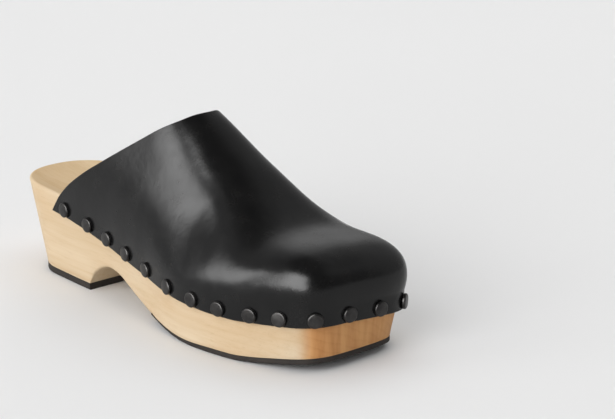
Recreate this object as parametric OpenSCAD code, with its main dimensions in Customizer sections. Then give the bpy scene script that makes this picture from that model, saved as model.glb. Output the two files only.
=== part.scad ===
// Wooden clog for the right foot: a carved wooden sole with its own heel, a closed leather upper
// nailed round the edge with studs, and rubber under heel and forefoot.
// +X points to the toe, +Y to the medial (inner) side, +Z up. The origin is at the middle of the
// footprint, on the ground.

/* [Sole] */
// Length of the sole that the last shape is stretched to
sole_length = 274; // [240:1:300]
// Width of the wood at the ball of the foot
ball_width = 84; // [75:1:93]
// Height of the footbed's edge at the heel
heel_rim_height = 51; // [47:1:59]
// Depth of the dished footbed below its edge
footbed_dish = 2.5; // [1:0.1:4]
// Thickness of the rubber under the forefoot
outsole_thickness = 3; // [2.5:0.1:3.8]
// Thickness of the rubber under the heel
heel_lift_thickness = 4; // [3:0.1:5]

/* [Upper] */
// Thickness of the outer leather
leather_thickness = 1.4; // [1.2:0.1:2]
// Thickness of the lining
lining_thickness = 0.9; // [0.7:0.1:1.2]
// Thickness of the stiffener in the toe
puff_thickness = 0.8; // [0.5:0.1:1.2]
// How far the leather reaches down over the side of the wood
lap_height = 9.5; // [8:0.5:12]

/* [Studs] */
// Diameter of a stud's head
stud_head_d = 8.4; // [7:0.1:10]
// Height of a stud's head
stud_head_h = 2; // [1.5:0.1:3]
// Diameter of a stud's shank
stud_shank_d = 2; // [1.5:0.1:2.5]
// Length of the shank below the head
stud_shank_l = 12; // [8:0.5:14]
// Number of studs along each side
side_studs = 10; // [6:1:12]
// Number of studs across the toe, both corners included
toe_stud_count = 4; // [2:1:5]

/* [Hidden] */

// --- last shape, drawn at its nominal size and stretched to the sizes above ---
nominal_length = 274;
nominal_width = 84;
nominal_rim = 51;
kx = sole_length / nominal_length;
ky = ball_width / nominal_width;
kz = heel_rim_height / nominal_rim;

// Stations along the last: x, lateral half width, medial half width, height of the footbed's edge,
// y of the ridge, height of the ridge, roundness of the wall, roundness of the crest
last_table = [
  [  0, 28.0, 32.0, 51.0,  4, 141, 2.4, 2.1],
  [ 30, 28.3, 33.0, 50.2,  4, 136, 2.4, 2.1],
  [ 60, 29.2, 31.0, 48.5,  4, 132, 2.2, 2.1],
  [ 95, 30.2, 28.5, 43.1,  4, 126, 1.8, 2.1],
  [135, 34.6, 34.5, 37.3,  4, 116.5, 1.5, 2.1],
  [175, 41.4, 42.5, 34.3, 10,  91, 1.4, 2.1],
  [215, 37.5, 46.5, 33.1, 16,  66, 1.9, 2.4],
  [245, 27.0, 44.5, 34.3, 12,  64, 2.9, 3.0],
  [275, 16.0, 41.0, 36.0,  8,  58.5, 3.2, 3.2]
];
LATERAL = 1;
MEDIAL = 2;
RIM = 3;
RIDGE_Y = 4;
RIDGE_Z = 5;
WALL = 6;
CREST = 7;

// Lowest line of the clog seen from the side: x and height. The heel and the tread stand on the
// ground, the waist arches between them and the toe springs up.
ground_table = [
  [16, 0], [77, 0], [80, 9], [85, 14], [92, 17.5], [98, 18.5], [108, 17], [122, 11.5], [133, 7.6],
  [142, 5.0], [154, 2.8], [168, 1.0], [184, 0], [214, 0], [228, 1.0], [243, 2.9], [256, 4.5],
  [264, 5.6], [278, 7.6]
];
heel_end = 77 * kx;
outsole_start = 142 * kx;
outsole_full = 200 * kx;
outsole_feather = 0.6;

// Topline of the upper: angle up from the edge of the wood, and its x. The ridge is at 90 degrees.
topline_table = [
  [0, 51.7], [6, 60], [15, 74.5], [25, 90.2], [38, 107.1], [52, 123.4], [65, 136], [75, 141.1],
  [90, 143.5], [105, 141.1]
];

// Plan of the wood: rounded heel, long sides and a squared toe whose front runs askew
heel_x = 32 * kx;
heel_roundness = 2.3;
toe_x = 234 * kx;
toe_depth = 26 * kx;
toe_outer_roundness = 3.7;
toe_inner_roundness = 4.4;
toe_front_roundness = 3.6;
toe_askew = 0.10;
askew_from = 163 * kx;
askew_to = 253 * kx;
crown_x = 190 * kx;
// A cross section keeps its wall's roundness up to this angle, then takes its crest's
crest_from = 30;

// The heel's back and the toe's inner corner lean in towards the ground. The edge of the toe drops
// towards the inner side, and the leather over it stands out by the bulge.
heel_undercut = 17;
toe_undercut = 4.2;
toe_drop = 0.045;
toe_bulge = 2.6;
// How much squarer the toe's cross section is on its outer side and at its front
toe_shoulder = 0.45;

// Layers round the wood, as distances from its wall
layer_gap = 0.05;
lining_in = 0.15;
lining_out = lining_in + lining_thickness;
leather_in = lining_out + layer_gap;
leather_out = leather_in + leather_thickness;
lap_slant = 6.5;
lap_slant_reach = 25;

// Edges and fastenings
rim_chamfer = 1.2;
stud_rise = 3.9;
stud_start = 57.8 * kx;
stud_edge_r = 0.8;
// How far studs stand on from even spacing: share of the way round the toe, and distance
stud_shifts = [
  [0, 0], [0.044, 2], [0.087, 0.8], [0.13, 0.3], [0.174, 2], [0.217, 6.9], [0.26, 7.8], [0.304, 6.3],
  [0.348, 5.6], [0.391, 2.4], [0.435, 1], [0.5, 0], [0.65, -3], [0.75, -5], [0.85, -2], [1, 0]
];
hole_play = 0.05;
nail_d = 1.6;
nail_l = 12;
nail_head_d = 3.6;
nail_head_h = 0.9;
nail_sink = 0.6;

// Fineness of the surfaces
K = 10;
S = 12;
RIM_STEPS = 24;
puff_first_row = S - 3;
puff_rows = 4;
puff_rings = 3;

// --- curves ---
function lerp(a, b, t) = a + (b - a) * t;
function ease(t) = let (s = min(max(t, 0), 1)) s * s * (3 - 2 * s);
function row_of(table, x, i = 0) =
  i >= len(table) - 2 || x < table[i + 1][0] ? i : row_of(table, x, i + 1);
function slope(table, i, c) =
  let (a = max(i - 1, 0), b = min(i + 1, len(table) - 1))
  (table[b][c] - table[a][c]) / (table[b][0] - table[a][0]);

// Smooth curve through column c of a table whose first column is x
function through(table, x, c) =
  let (
    xc = min(max(x, table[0][0]), table[len(table) - 1][0]),
    i = row_of(table, xc),
    h = table[i + 1][0] - table[i][0],
    t = (xc - table[i][0]) / h
  )
  (2 * t ^ 3 - 3 * t ^ 2 + 1) * table[i][c]
  + (t ^ 3 - 2 * t ^ 2 + t) * h * slope(table, i, c)
  + (3 * t ^ 2 - 2 * t ^ 3) * table[i + 1][c]
  + (t ^ 3 - t ^ 2) * h * slope(table, i + 1, c);

// Rounded quarter from [1, 0] at 0 degrees to [0, 1] at 90, squarer as e grows
function quarter(a, e) =
  let (r = 1 / pow(pow(cos(a), e) + pow(sin(a), e), 1 / e))
  [r * cos(a), r * sin(a)];

// --- last ---
function last(x, c) =
  through(last_table, x / kx, c) * (c == RIM || c == RIDGE_Z ? kz : c <= RIDGE_Y ? ky : 1);
function side_y(x, side, off) = side == LATERAL ? -last(x, LATERAL) - off : last(x, MEDIAL) + off;
// Moves a point of the straight toe to its place in the toe that runs askew and drops
function askew(p) =
  let (
    shift = toe_askew * ease((p[0] - askew_from) / (askew_to - askew_from)) * p[1],
    edge_share = ease((p[2] - 8) / 16) * (1 - ease((p[2] - 36) / 16)),
    drop = toe_drop * ease((p[0] - toe_x + 19) / 40) * max(p[1], 0) * edge_share
  )
  [p[0] + shift, p[1], p[2] - drop];

// Thickness of the rubber: full under the heel, none in the waist, growing under the forefoot
function rubber(x) =
  let (share = min((x - outsole_start) / (outsole_full - outsole_start), 1))
  x <= heel_end ? heel_lift_thickness
  : share < 0 ? 0
  : lerp(outsole_feather, outsole_thickness, share);
function ground(x) = x <= heel_end ? 0 : max(through(ground_table, x / kx, 1), 0);
function underside(x) = ground(x) + rubber(x);

// Plan points round the toe (angle -90 lateral to 90 medial) and round the heel
function toe_point(a, off) =
  let (
    q = quarter(abs(a), a < 0 ? toe_outer_roundness : toe_inner_roundness),
    x = toe_x + (toe_depth + off) * q[0],
    side = a < 0 ? LATERAL : MEDIAL
  )
  [x, side_y(x, side, off) * q[1]];
function heel_point(a, off) =
  let (
    q = quarter(abs(a), heel_roundness),
    x = heel_x - (heel_x + off) * q[0],
    side = a < 0 ? LATERAL : MEDIAL
  )
  [x, side_y(x, side, off) * q[1]];

// Plan line from the lateral side at x_from, round the toe, back to the medial side at x_from
function toe_line(x_from, off) =
  let (xs = [for (k = [0:RIM_STEPS - 1]) lerp(x_from, toe_x, k / RIM_STEPS)])
  concat(
    [for (x = xs) [x, side_y(x, LATERAL, off)]],
    [for (k = [-RIM_STEPS:RIM_STEPS]) toe_point(90 * k / RIM_STEPS, off)],
    [for (k = [RIM_STEPS - 1:-1:0]) [xs[k], side_y(xs[k], MEDIAL, off)]]
  );
function heel_line(off) = [for (k = [-RIM_STEPS:RIM_STEPS]) heel_point(90 * k / RIM_STEPS, off)];

// Distance run along a line at each of its points, and the point at a share u of its length
function step_of(line, k) = k + 1 < len(line) ? norm(line[k + 1] - line[k]) : 0;
function run_of(line) = [
  for (k = 0, s = 0; k < len(line); s = s + step_of(line, k), k = k + 1) s
];
function ruled(line) =
  let (run = run_of(line), whole = run[len(run) - 1])
  [for (c = [0:len(line[0]) - 1]) [for (k = [0:len(line) - 1]) [run[k] / whole, line[k][c]]]];
function at_share(rule, u) = [for (column = rule) lookup(u, column)];

// A half disc drawn as n by 2n squares: ring 0 is its rim, ring n its middle
function cap_ring(i, j, n) = min(j, 2 * n - j, n - i);
function cap_turn(i, j, n) =
  let (k = cap_ring(i, j, n))
  k == n ? 0.5
  : n - i == k ? 0.25 + 0.25 * (j - k) / (n - k)
  : j == k ? 0.25 * i / (n - k)
  : 1 - 0.25 * i / (n - k);

// --- surfaces as grids of points ---
function quads(rows, columns) = [
  for (i = [0:rows - 2], j = [0:columns - 2])
    let (a = i * columns + j) [a, a + 1, a + columns + 1, a + columns]
];
// Strip of quads between two lists of point numbers of the same length
function strip(a, b) = [for (k = [0:len(a) - 2]) [a[k], a[k + 1], b[k + 1], b[k]]];
function turned(faces) = [for (f = faces) [for (k = [len(f) - 1:-1:0]) f[k]]];
function triangles(quads) = [for (q = quads) each [[q[0], q[1], q[2]], [q[0], q[2], q[3]]]];
function span(first, count) = [for (k = [0:count - 1]) first + k];
function shifted(ids, by) = [for (k = ids) k + by];
function closed(ids) = concat(ids, [ids[0]]);
function flat(lists) = [for (l = lists) each l];

// Edge of a grid, in order round it from its first corner
function edge_ids(rows, columns) = concat(
  [for (j = [0:columns - 2]) j],
  [for (i = [0:rows - 2]) i * columns + columns - 1],
  [for (j = [columns - 1:-1:1]) (rows - 1) * columns + j],
  [for (i = [rows - 1:-1:1]) i * columns]
);

// Closed solid between two grids with the same rows and columns; walls run down a list of further
// rings of points between their edges
module between(top, bottom, rings, rows, columns) {
  n = rows * columns;
  edge = edge_ids(rows, columns);
  m = len(edge);
  levels = concat(
    [edge],
    [for (k = [0:1:len(rings) - 1]) span(2 * n + k * m, m)],
    [shifted(edge, n)]
  );
  polyhedron(
    points = concat(top, bottom, flat(rings)),
    faces = triangles(concat(
      quads(rows, columns),
      turned([for (q = quads(rows, columns)) shifted(q, n)]),
      turned(flat([for (k = [0:len(levels) - 2]) strip(closed(levels[k]), closed(levels[k + 1]))]))
    ))
  );
}

// --- sole ---
// Rows across the sole: a half disc at the heel, straight rows where the shape changes, a half disc
// at the toe
row_x = concat(
  [heel_x, 48 * kx, 63 * kx],
  [for (g = ground_table) if (g[0] * kx >= heel_end && g[0] * kx < crown_x) g[0] * kx],
  [crown_x]
);
MID = len(row_x) - 1;
SOLE_ROWS = 2 * K + MID + 1;
SOLE_COLUMNS = 2 * K + 1;
// Number of the row the rubber under the forefoot starts at
outsole_row = K + len([for (x = row_x) if (x < outsole_start) x]);

// Plan points of the sole's grid at a distance off outside its wall, each with its share s from the
// middle line (0) to the wall (1) and the number of its row
function sole_share(i, j) =
  i < K ? 1 - cap_ring(K - i, j, K) / K
  : i > K + MID ? 1 - cap_ring(i - K - MID, j, K) / K
  : abs(j - K) / K;
function sole_grid(off) =
  let (
    heel_rule = ruled(heel_line(off)),
    toe_rule = ruled(toe_line(crown_x, off)),
    heel_middle = [heel_x, last(heel_x, RIDGE_Y)],
    toe_middle = [crown_x, last(crown_x, RIDGE_Y)]
  )
  [for (i = [0:SOLE_ROWS - 1], j = [0:SOLE_COLUMNS - 1])
    let (
      s = sole_share(i, j),
      x = row_x[min(max(i - K, 0), MID)],
      middle = i < K ? heel_middle : i > K + MID ? toe_middle : [x, last(x, RIDGE_Y)],
      rim = i < K ? at_share(heel_rule, cap_turn(K - i, j, K))
        : i > K + MID ? at_share(toe_rule, cap_turn(i - K - MID, j, K))
        : [x, side_y(x, j < K ? LATERAL : MEDIAL, off)]
    )
    [each lerp(middle, rim, s), s, i]];

function footbed_point(p) =
  [p[0], p[1], last(p[0], RIM) - footbed_dish * (1 - p[2] ^ 4)];
// Place on the ground's side of a point of the plan
function tucked(p) =
  let (corner = toe_undercut * ease((p[0] - toe_x + 29) / 50) * ease((p[1] + 10) / 45))
  [p[0] + heel_undercut * ease(1 - p[0] / heel_end) - 0.9 * corner, p[1] - 0.6 * corner];
function base_point(p) = let (t = tucked(p)) [t[0], t[1], underside(t[0])];

module wooden_sole() {
  plan = sole_grid(0);
  footbed = [for (p = sole_grid(-rim_chamfer)) centred(askew(footbed_point(p)))];
  base = [for (p = plan) centred(askew(base_point(p)))];
  rim = [
    for (e = edge_ids(SOLE_ROWS, SOLE_COLUMNS))
      let (p = plan[e]) centred(askew([p[0], p[1], last(p[0], RIM) - rim_chamfer]))
  ];
  color("burlywood")
    difference() {
      between(footbed, base, [rim], SOLE_ROWS, SOLE_COLUMNS);
      stud_holes([0:stud_count - 1]);
      nail_holes(heel_nails);
      nail_holes(outsole_nail_places);
    }
}

// Outline of the rubber under the heel
function heel_base() = concat(
  [for (x = [heel_end, row_x[2]]) [x, side_y(x, LATERAL, 0)]],
  [for (k = [-RIM_STEPS:RIM_STEPS]) tucked(heel_point(90 * k / RIM_STEPS, 0))],
  [for (x = [row_x[2], heel_end]) [x, side_y(x, MEDIAL, 0)]]
);

module heel_top_lift() {
  color([0.13, 0.12, 0.11])
    difference() {
      to_centre() linear_extrude(heel_lift_thickness) polygon(heel_base());
      nail_holes(heel_nails);
    }
}

// Rubber under the forefoot: the toe end of the sole's grid, between the ground and the wood
module forefoot_outsole() {
  plan = [for (p = sole_grid(0)) if (p[3] >= outsole_row) p];
  color([0.13, 0.12, 0.11])
    difference() {
      between(
        [for (p = plan) centred(askew(base_point(p) - [0, 0, layer_gap]))],
        [for (p = plan) let (t = tucked(p)) centred(askew([t[0], t[1], ground(t[0])]))],
        [], SOLE_ROWS - outsole_row, SOLE_COLUMNS
      );
      nail_holes(outsole_nail_places);
    }
}

// --- upper ---
UPPER_ROWS = S + K + 1;
UPPER_COLUMNS = 2 * K + 1;

function crest_share(a) = ease((a - crest_from) / (90 - crest_from));
function shoulder(p) =
  toe_shoulder * ease((p[0] - toe_x + 64) / 50) * (1 - ease((p[1] - 5) / 30));
// Point of a cross section: a degrees up from the edge of the wood, off outside the wood's wall
function section_point(x, a, side, off) =
  let (
    wall_y = side_y(x, side, off),
    squareness = lerp(last(x, WALL), last(x, CREST), crest_share(a)) + shoulder([x, wall_y]),
    q = quarter(a, squareness),
    rim_z = last(x, RIM),
    rise = last(x, RIDGE_Z) - (leather_out - off) - rim_z
  )
  [x, lerp(last(x, RIDGE_Y), wall_y, q[0]), rim_z + rise * q[1]];

// Point over the toe, on a spoke from the crown of the toe to a point of its rim
function toe_cap_point(ring, rim, off) =
  let (
    a = 90 * ring / K,
    forward = (rim[0] - crown_x) / (toe_x + toe_depth + off - crown_x),
    wall = lerp(last(min(rim[0], toe_x), WALL), toe_front_roundness, forward ^ 3),
    crest = last(lerp(crown_x, rim[0], cos(a)), CREST),
    q = ring == K ? [0, 1] : quarter(a, lerp(wall, crest, crest_share(a)) + shoulder(rim)),
    crown_y = last(crown_x, RIDGE_Y),
    bulge = toe_bulge * ease((rim[0] - toe_x + 34) / 40) * lerp(0.2, 1, ease((rim[1] + 10) / 40)),
    spoke = norm([rim[0] - crown_x, rim[1] - crown_y]),
    out = q[0] * (1 + bulge / spoke * sin(180 * min(a / 75, 1))),
    x = lerp(crown_x, rim[0], q[0]),
    rim_z = last(x, RIM),
    rise = last(x, RIDGE_Z) - (leather_out - off) - rim_z
  )
  [lerp(crown_x, rim[0], out), lerp(crown_y, rim[1], out), rim_z + rise * q[1]];

// How much of the stiffener's thickness is behind a point of the grid: none at the edge of the wood
// and behind the toe, all of it in the toe
function puff_share(i, j) =
  let (ring = i < S ? min(j, 2 * K - j) : cap_ring(i - S, j, K))
  min(ease(ring / puff_rings), ease((i - puff_first_row + 1) / puff_rows));

function upper_grid(off, inward = 0) =
  let (rule = [for (n = [0:1]) ruled(toe_line(crown_x, off - n * inward))])
  [for (i = [0:UPPER_ROWS - 1], j = [0:UPPER_COLUMNS - 1])
    let (
      share = puff_share(i, j),
      here = off - inward * share,
      a = 90 * min(j, 2 * K - j) / K,
      x = lerp(through(topline_table, a, 1) * kx, crown_x, i / S),
      turn = i < S ? 0 : cap_turn(i - S, j, K),
      rim = lerp(at_share(rule[0], turn), at_share(rule[1], turn), share)
    )
    i <= S ? section_point(x, a, j < K ? LATERAL : MEDIAL, here)
    : toe_cap_point(cap_ring(i - S, j, K), rim, here)];

// The edge of the upper's grid along the wood, from the lateral rear corner round the toe
upper_edge = concat(
  [for (i = [0:UPPER_ROWS - 1]) i * UPPER_COLUMNS],
  [for (j = [1:UPPER_COLUMNS - 2]) (UPPER_ROWS - 1) * UPPER_COLUMNS + j],
  [for (i = [UPPER_ROWS - 1:-1:0]) i * UPPER_COLUMNS + UPPER_COLUMNS - 1]
);
// Leather over the side of the wood, depth below the footbed's edge; its rear end slants back
function lap(grid, depth) = [
  for (e = upper_edge)
    let (
      p = grid[e],
      rear_share = ease(1 - (p[0] - topline_table[0][1] * kx) / lap_slant_reach),
      x = p[0] - lap_slant * depth / lap_height * rear_share
    )
    [x, p[1], last(x, RIM) - depth]
];

// Skin between two surfaces of the upper, with its lap down over the wood
module upper_skin(out_off, in_off, out_inward, in_inward, depth) {
  n = UPPER_ROWS * UPPER_COLUMNS;
  m = len(upper_edge);
  outer = upper_grid(out_off, out_inward);
  inner = upper_grid(in_off, in_inward);
  side = n + 2 * m;
  face = concat(
    quads(UPPER_ROWS, UPPER_COLUMNS),
    strip(upper_edge, span(n, m)),
    strip(span(n, m), span(n + m, m))
  );
  border = concat(span(0, UPPER_COLUMNS), [n + m - 1], [for (k = [m - 1:-1:0]) n + m + k], [n]);
  polyhedron(
    points = [
      for (grid = [outer, inner])
        each [for (p = concat(grid, lap(grid, depth / 2), lap(grid, depth))) centred(askew(p))]
    ],
    faces = triangles(concat(
      face,
      turned([for (f = face) shifted(f, side)]),
      turned(strip(closed(border), shifted(closed(border), side)))
    ))
  );
}

module leather_upper() {
  color([0.07, 0.07, 0.08])
    difference() {
      upper_skin(leather_out, leather_in, 0, 0, lap_height);
      stud_holes([0:stud_count - 1]);
    }
}

module vamp_lining() {
  inward = puff_thickness + layer_gap;
  color([0.2, 0.2, 0.2])
    difference() {
      upper_skin(lining_out, lining_in, inward, inward, lap_height);
      stud_holes([0:stud_count - 1]);
    }
}

// Stiffener: the toe end of the upper's grid, without the ring along the wood
module toe_puff() {
  rows = UPPER_ROWS - 1 - puff_first_row;
  columns = UPPER_COLUMNS - 2;
  outer = upper_grid(leather_in - layer_gap / 3);
  inner = upper_grid(leather_in - layer_gap / 3, puff_thickness);
  function part_of(grid) = [
    for (i = [0:rows - 1], j = [0:columns - 1])
      centred(askew(grid[(i + puff_first_row) * UPPER_COLUMNS + j + 1]))
  ];
  color([0.75, 0.7, 0.6])
    between(part_of(outer), part_of(inner), [], rows, columns);
}

// --- studs ---
stud_count = 2 * side_studs + toe_stud_count;
stud_line = [
  for (p = toe_line(stud_start, leather_out))
    askew([p[0], p[1], last(p[0], RIM) - lap_height + stud_rise])
];
stud_rule = ruled(stud_line);
stud_run = max(run_of(stud_line));

// Place of a stud: middle of its foot on the leather, and the angle it points out at
function stud_place(k) =
  let (
    even = k / (stud_count - 1),
    u = even + lookup(even, stud_shifts) / stud_run,
    step = 0.01,
    a = at_share(stud_rule, max(u - step, 0)),
    b = at_share(stud_rule, min(u + step, 1))
  )
  [at_share(stud_rule, u), atan2(a[0] - b[0], b[1] - a[1])];

module at_stud(k) {
  place = stud_place(k);
  translate(centred(place[0])) rotate([0, 90, place[1]]) children();
}
module stud_holes(ks) {
  for (k = ks)
    at_stud(k)
      translate([0, 0, -stud_shank_l - 1])
        cylinder(h = stud_shank_l + 2, d = stud_shank_d + 2 * hole_play, $fn = 24);
}

// Profile of a stud: flat head with a rounded edge on a pointed shank
module stud() {
  head_r = stud_head_d / 2;
  shank_r = stud_shank_d / 2;
  rotate_extrude($fn = 32)
    polygon(concat(
      [[0, -stud_shank_l], [shank_r, -stud_shank_l + 2 * stud_shank_d], [shank_r, 0], [head_r, 0]],
      [for (a = [0:30:90]) [head_r, stud_head_h] - stud_edge_r * [1 - cos(a), 1 - sin(a)]],
      [[0, stud_head_h]]
    ));
}
module studs(ks) {
  color([0.23, 0.22, 0.22])
    for (k = ks) at_stud(k) translate([0, 0, layer_gap]) stud();
}
module lateral_studs() { studs([0:side_studs - 1]); }
module toe_studs() { studs([side_studs:side_studs + toe_stud_count - 1]); }
module medial_studs() { studs([side_studs + toe_stud_count:stud_count - 1]); }

// --- nails that hold the rubber ---
heel_nails = [for (p = [[24, 0], [38, -18], [38, 18], [64, -19], [64, 17]]) [p[0] * kx, p[1] * ky]];
outsole_nail_count = 8;
outsole_nail_inset = 8;
outsole_nail_rule = ruled([for (p = toe_line(176 * kx, -outsole_nail_inset)) askew([each p, 0])]);
outsole_nail_places = [
  for (k = [0:outsole_nail_count - 1]) at_share(outsole_nail_rule, k / (outsole_nail_count - 1))
];

module at_nail(p) { translate(centred([p[0], p[1], ground(p[0])])) children(); }
module nail_holes(places) {
  head_h = nail_sink + nail_head_h + hole_play;
  for (p = places)
    at_nail(p) {
      translate([0, 0, -1]) cylinder(h = head_h + 1, d = nail_head_d + 2 * hole_play, $fn = 24);
      cylinder(h = nail_sink + nail_l + hole_play, d = nail_d + 2 * hole_play, $fn = 24);
    }
}
module nails(places) {
  color("silver")
    for (p = places)
      at_nail(p)
        translate([0, 0, nail_sink])
          rotate_extrude($fn = 24)
        polygon([
          [0, 0], [nail_head_d / 2, 0], [nail_head_d / 2, nail_head_h], [nail_d / 2, nail_head_h],
          [nail_d / 2, nail_l - nail_d], [0, nail_l]
        ]);
}
module heel_lift_nails() { nails(heel_nails); }
module outsole_nails() { nails(outsole_nail_places); }

// --- origin: the middle of the box round the clog, studs included ---
// How far a stud's head reaches along a direction in plan
function stud_reach(k, direction) =
  let (place = stud_place(k), c = cos(place[1] - direction), r = stud_edge_r)
  place[0][0] * cos(direction) + place[0][1] * sin(direction)
  + (stud_head_h + layer_gap - r) * c + (stud_head_d / 2 - r) * abs(sin(place[1] - direction)) + r;
function reach(direction) = max([for (k = [0:stud_count - 1]) stud_reach(k, direction)]);
centre = [reach(0) / 2, (reach(90) - reach(-90)) / 2, 0];
function centred(p) = p - centre;
module to_centre() { translate(-centre) children(); }

wooden_sole();
forefoot_outsole();
heel_top_lift();
leather_upper();
vamp_lining();
toe_puff();
lateral_studs();
toe_studs();
medial_studs();
outsole_nails();
heel_lift_nails();
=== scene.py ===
"""Looks of a wooden clog for the right foot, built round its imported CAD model. Metres in Blender; the shapes
are worked out in millimetres from the same curves as the CAD: x from the back of the heel towards the toe,
y towards the inner side, z up."""
import math

import bpy
import numpy as np
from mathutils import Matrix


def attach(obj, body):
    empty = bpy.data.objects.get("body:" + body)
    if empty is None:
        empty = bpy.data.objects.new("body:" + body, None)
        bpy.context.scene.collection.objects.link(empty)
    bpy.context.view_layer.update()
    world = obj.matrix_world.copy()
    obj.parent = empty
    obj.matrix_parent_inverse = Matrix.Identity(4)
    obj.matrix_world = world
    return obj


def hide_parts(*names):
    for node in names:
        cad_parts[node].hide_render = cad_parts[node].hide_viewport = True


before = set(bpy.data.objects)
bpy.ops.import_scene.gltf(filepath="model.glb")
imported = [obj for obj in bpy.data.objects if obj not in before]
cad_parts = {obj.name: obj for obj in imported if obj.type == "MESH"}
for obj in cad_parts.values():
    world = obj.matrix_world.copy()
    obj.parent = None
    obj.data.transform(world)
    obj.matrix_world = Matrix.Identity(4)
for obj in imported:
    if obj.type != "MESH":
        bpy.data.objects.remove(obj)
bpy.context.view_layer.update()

MM = 0.001
CENTRE = np.array([133.288, 2.57463, 0.0])  # middle of the footprint, where the frame has its origin

# ---------------------------------------------------------------- curves of the last, as in the CAD
LAST = np.array([
    # x, lateral, medial, rim z, ridge y, ridge z, wall roundness, crest roundness
    [0, 28.0, 32.0, 51.0, 4, 141, 2.4, 2.1],
    [30, 28.3, 33.0, 50.2, 4, 136, 2.4, 2.1],
    [60, 29.2, 31.0, 48.5, 4, 132, 2.2, 2.1],
    [95, 30.2, 28.5, 43.1, 4, 126, 1.8, 2.1],
    [135, 34.6, 34.5, 37.3, 4, 116.5, 1.5, 2.1],
    [175, 41.4, 42.5, 34.3, 10, 91, 1.4, 2.1],
    [215, 37.5, 46.5, 33.1, 16, 66, 1.9, 2.4],
    [245, 27.0, 44.5, 34.3, 12, 64, 2.9, 3.0],
    [275, 16.0, 41.0, 36.0, 8, 58.5, 3.2, 3.2],
])
LATERAL, MEDIAL, RIM, RIDGE_Y, RIDGE_Z, WALL, CREST = range(1, 8)
# Height of the tread over the ground along x, and where the topline crosses each angle up the side
GROUND = np.array([
    [16, 0], [77, 0], [80, 9], [85, 14], [92, 17.5], [98, 18.5], [108, 17], [122, 11.5], [133, 7.6],
    [142, 5.0], [154, 2.8], [168, 1.0], [184, 0], [214, 0], [228, 1.0], [243, 2.9], [256, 4.5], [264, 5.6],
    [278, 7.6],
], float)
TOPLINE = np.array([
    [0, 51.7], [6, 60], [15, 74.5], [25, 90.2], [38, 107.1], [52, 123.4], [65, 136], [75, 141.1], [90, 143.5],
    [105, 141.1],
], float)
HEEL_X, HEEL_ROUNDNESS, HEEL_UNDERCUT, HEEL_END = 32.0, 2.3, 17.0, 77.0
TOE_X, TOE_DEPTH, TOE_OUTER_ROUNDNESS, TOE_INNER_ROUNDNESS, TOE_FRONT_ROUNDNESS = 234.0, 26.0, 3.7, 4.4, 3.6
ASKEW, ASKEW_FROM, ASKEW_TO = 0.10, 163.0, 253.0
CROWN_X, CREST_FROM = 190.0, 30.0
DISH = 2.5
LIFT, OUTSOLE, FEATHER, OUTSOLE_START, OUTSOLE_FULL = 4.0, 3.0, 0.6, 142.0, 200.0
LEATHER_OUT, LEATHER, GAP, LINING, PUFF = 2.5, 1.4, 0.05, 0.9, 0.8
LAP, LAP_SLANT, LAP_SLANT_REACH = 9.5, 6.5, 25.0
STUD_COUNT, SIDE_STUDS, STUD_START, STUD_RISE = 24, 10, 57.8, 3.9
STUD_R, STUD_H, STUD_SHANK_R, STUD_SHANK = 4.2, 2.0, 1.0, 12.0
# How far studs stand from even spacing: share of the way round, and distance forward on the way
UNEVEN = np.array([
    [0, 0], [0.044, 2], [0.087, 0.8], [0.13, 0.3], [0.174, 2], [0.217, 6.9], [0.26, 7.8], [0.304, 6.3],
    [0.348, 5.6], [0.391, 2.4], [0.435, 1], [0.5, 0], [0.65, -3], [0.75, -5], [0.85, -2], [1, 0],
])
# The toe's inner corner: how much its wood leans in towards the ground, how much lower its edge lies for
# each millimetre towards the inner side, and how far the leather over it stands out
TOE_UNDERCUT, TOE_DROP, TOE_BULGE = 4.2, 0.045, 2.6
TOE_SHOULDER = 0.45  # how much squarer the toe's cross section is on its outer side and at its front


def lerp(a, b, t):
    return a + (b - a) * t


def ease(t):
    t = np.clip(t, 0, 1)
    return t * t * (3 - 2 * t)


def through(table, x, c):
    """Smooth curve through column c of a table whose first column is x."""
    at, y = table[:, 0], table[:, c]
    x = np.clip(np.asarray(x, float), at[0], at[-1])
    slope = np.empty(len(at))
    slope[1:-1] = (y[2:] - y[:-2]) / (at[2:] - at[:-2])
    slope[0] = (y[1] - y[0]) / (at[1] - at[0])
    slope[-1] = (y[-1] - y[-2]) / (at[-1] - at[-2])
    i = np.clip(np.searchsorted(at, x, side="right") - 1, 0, len(at) - 2)
    h = at[i + 1] - at[i]
    t = (x - at[i]) / h
    return ((2 * t**3 - 3 * t**2 + 1) * y[i] + (t**3 - 2 * t**2 + t) * h * slope[i]
            + (3 * t**2 - 2 * t**3) * y[i + 1] + (t**3 - t**2) * h * slope[i + 1])


def quarter(a, e):
    """Rounded quarter from (1, 0) at 0 degrees to (0, 1) at 90, squarer as e grows."""
    c, s = np.cos(np.radians(a)), np.sin(np.radians(a))
    c, s = np.maximum(c, 0), np.maximum(s, 0)
    r = (c**e + s**e) ** (-1 / e)
    return r * c, r * s


def last(x, c):
    return through(LAST, x, c)


def side_y(x, side, off):
    return np.where(side < 0, -last(x, LATERAL) - off, last(x, MEDIAL) + off)


def askew(p):
    """The toe's front runs askew, and the edge of its wood drops towards the inner side."""
    p = np.array(p, float)
    if p.shape[-1] == 3:
        near_edge = ease((p[..., 2] - 8) / 16) * (1 - ease((p[..., 2] - 36) / 16))
        p[..., 2] -= TOE_DROP * ease((p[..., 0] - 215) / 40) * np.maximum(p[..., 1], 0) * near_edge
    p[..., 0] += ASKEW * ease((p[..., 0] - ASKEW_FROM) / (ASKEW_TO - ASKEW_FROM)) * p[..., 1]
    return p


def ground(x):
    return np.where(x <= HEEL_END, 0.0, np.maximum(through(GROUND, x, 1), 0))


def rubber(x):
    front = lerp(FEATHER, OUTSOLE, np.clip((x - OUTSOLE_START) / (OUTSOLE_FULL - OUTSOLE_START), 0, 1))
    return np.where(x <= HEEL_END, LIFT, np.where(x < OUTSOLE_START, 0.0, front))


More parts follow.
